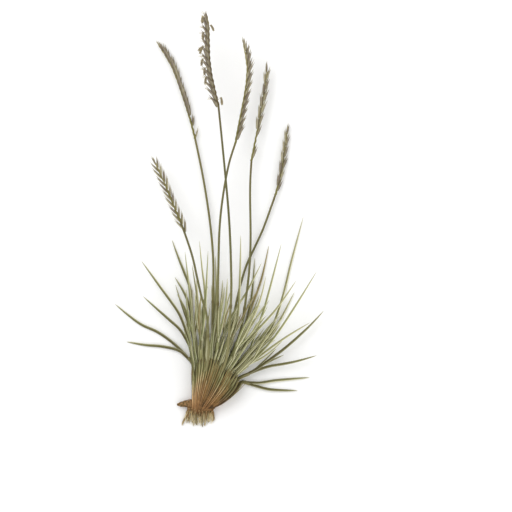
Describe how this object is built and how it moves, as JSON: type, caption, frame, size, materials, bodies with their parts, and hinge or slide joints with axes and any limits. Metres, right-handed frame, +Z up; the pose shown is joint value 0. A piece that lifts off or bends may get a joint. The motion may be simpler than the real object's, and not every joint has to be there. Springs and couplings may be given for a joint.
{
  "type": "bare-rooted matgrass tuft",
  "caption": "Bare-rooted tuft of wiry grass lying down: a fan of brown sheaths with bristle leaves, slender stems with one-sided flower spikes, a short creeping stem and cord roots.",
  "frame": {"origin": "on the table, at the middle of the flat underside of the brown sheath fan, the thick foot of the tuft", "axes": "+Y from the roots to the tips of the flower spikes, +X to the right seen from above with the spikes away, +Z up from the table"},
  "size_m": [0.1439, 0.292, 0.0345],
  "materials": {
    "sheath": "matte",
    "shoot": "satin",
    "culm": "satin",
    "spike": "matte",
    "rhizome": "matte"
  },
  "bodies": {
    "root": {"rhizome": "rhizome", "old_sheaths": "sheath", "shoot_01": "shoot", "shoot_02": "shoot", "shoot_03": "shoot", "shoot_04": "shoot", "shoot_05": "shoot", "shoot_06": "shoot", "shoot_07": "shoot", "shoot_08": "shoot", "shoot_09": "shoot", "shoot_10": "shoot", "shoot_11": "shoot", "shoot_12": "shoot", "shoot_13": "shoot", "shoot_14": "shoot", "shoot_15": "shoot", "shoot_16": "shoot", "shoot_17": "shoot", "shoot_18": "shoot", "stem_01": "culm", "spike_01": "spike", "stem_02": "culm", "spike_02": "spike", "stem_03": "culm", "spike_03": "spike", "stem_04": "culm", "spike_04": "spike", "stem_05": "culm", "spike_05": "spike", "stem_06": "culm", "spike_06": "spike"}
  },
  "joints": []
}
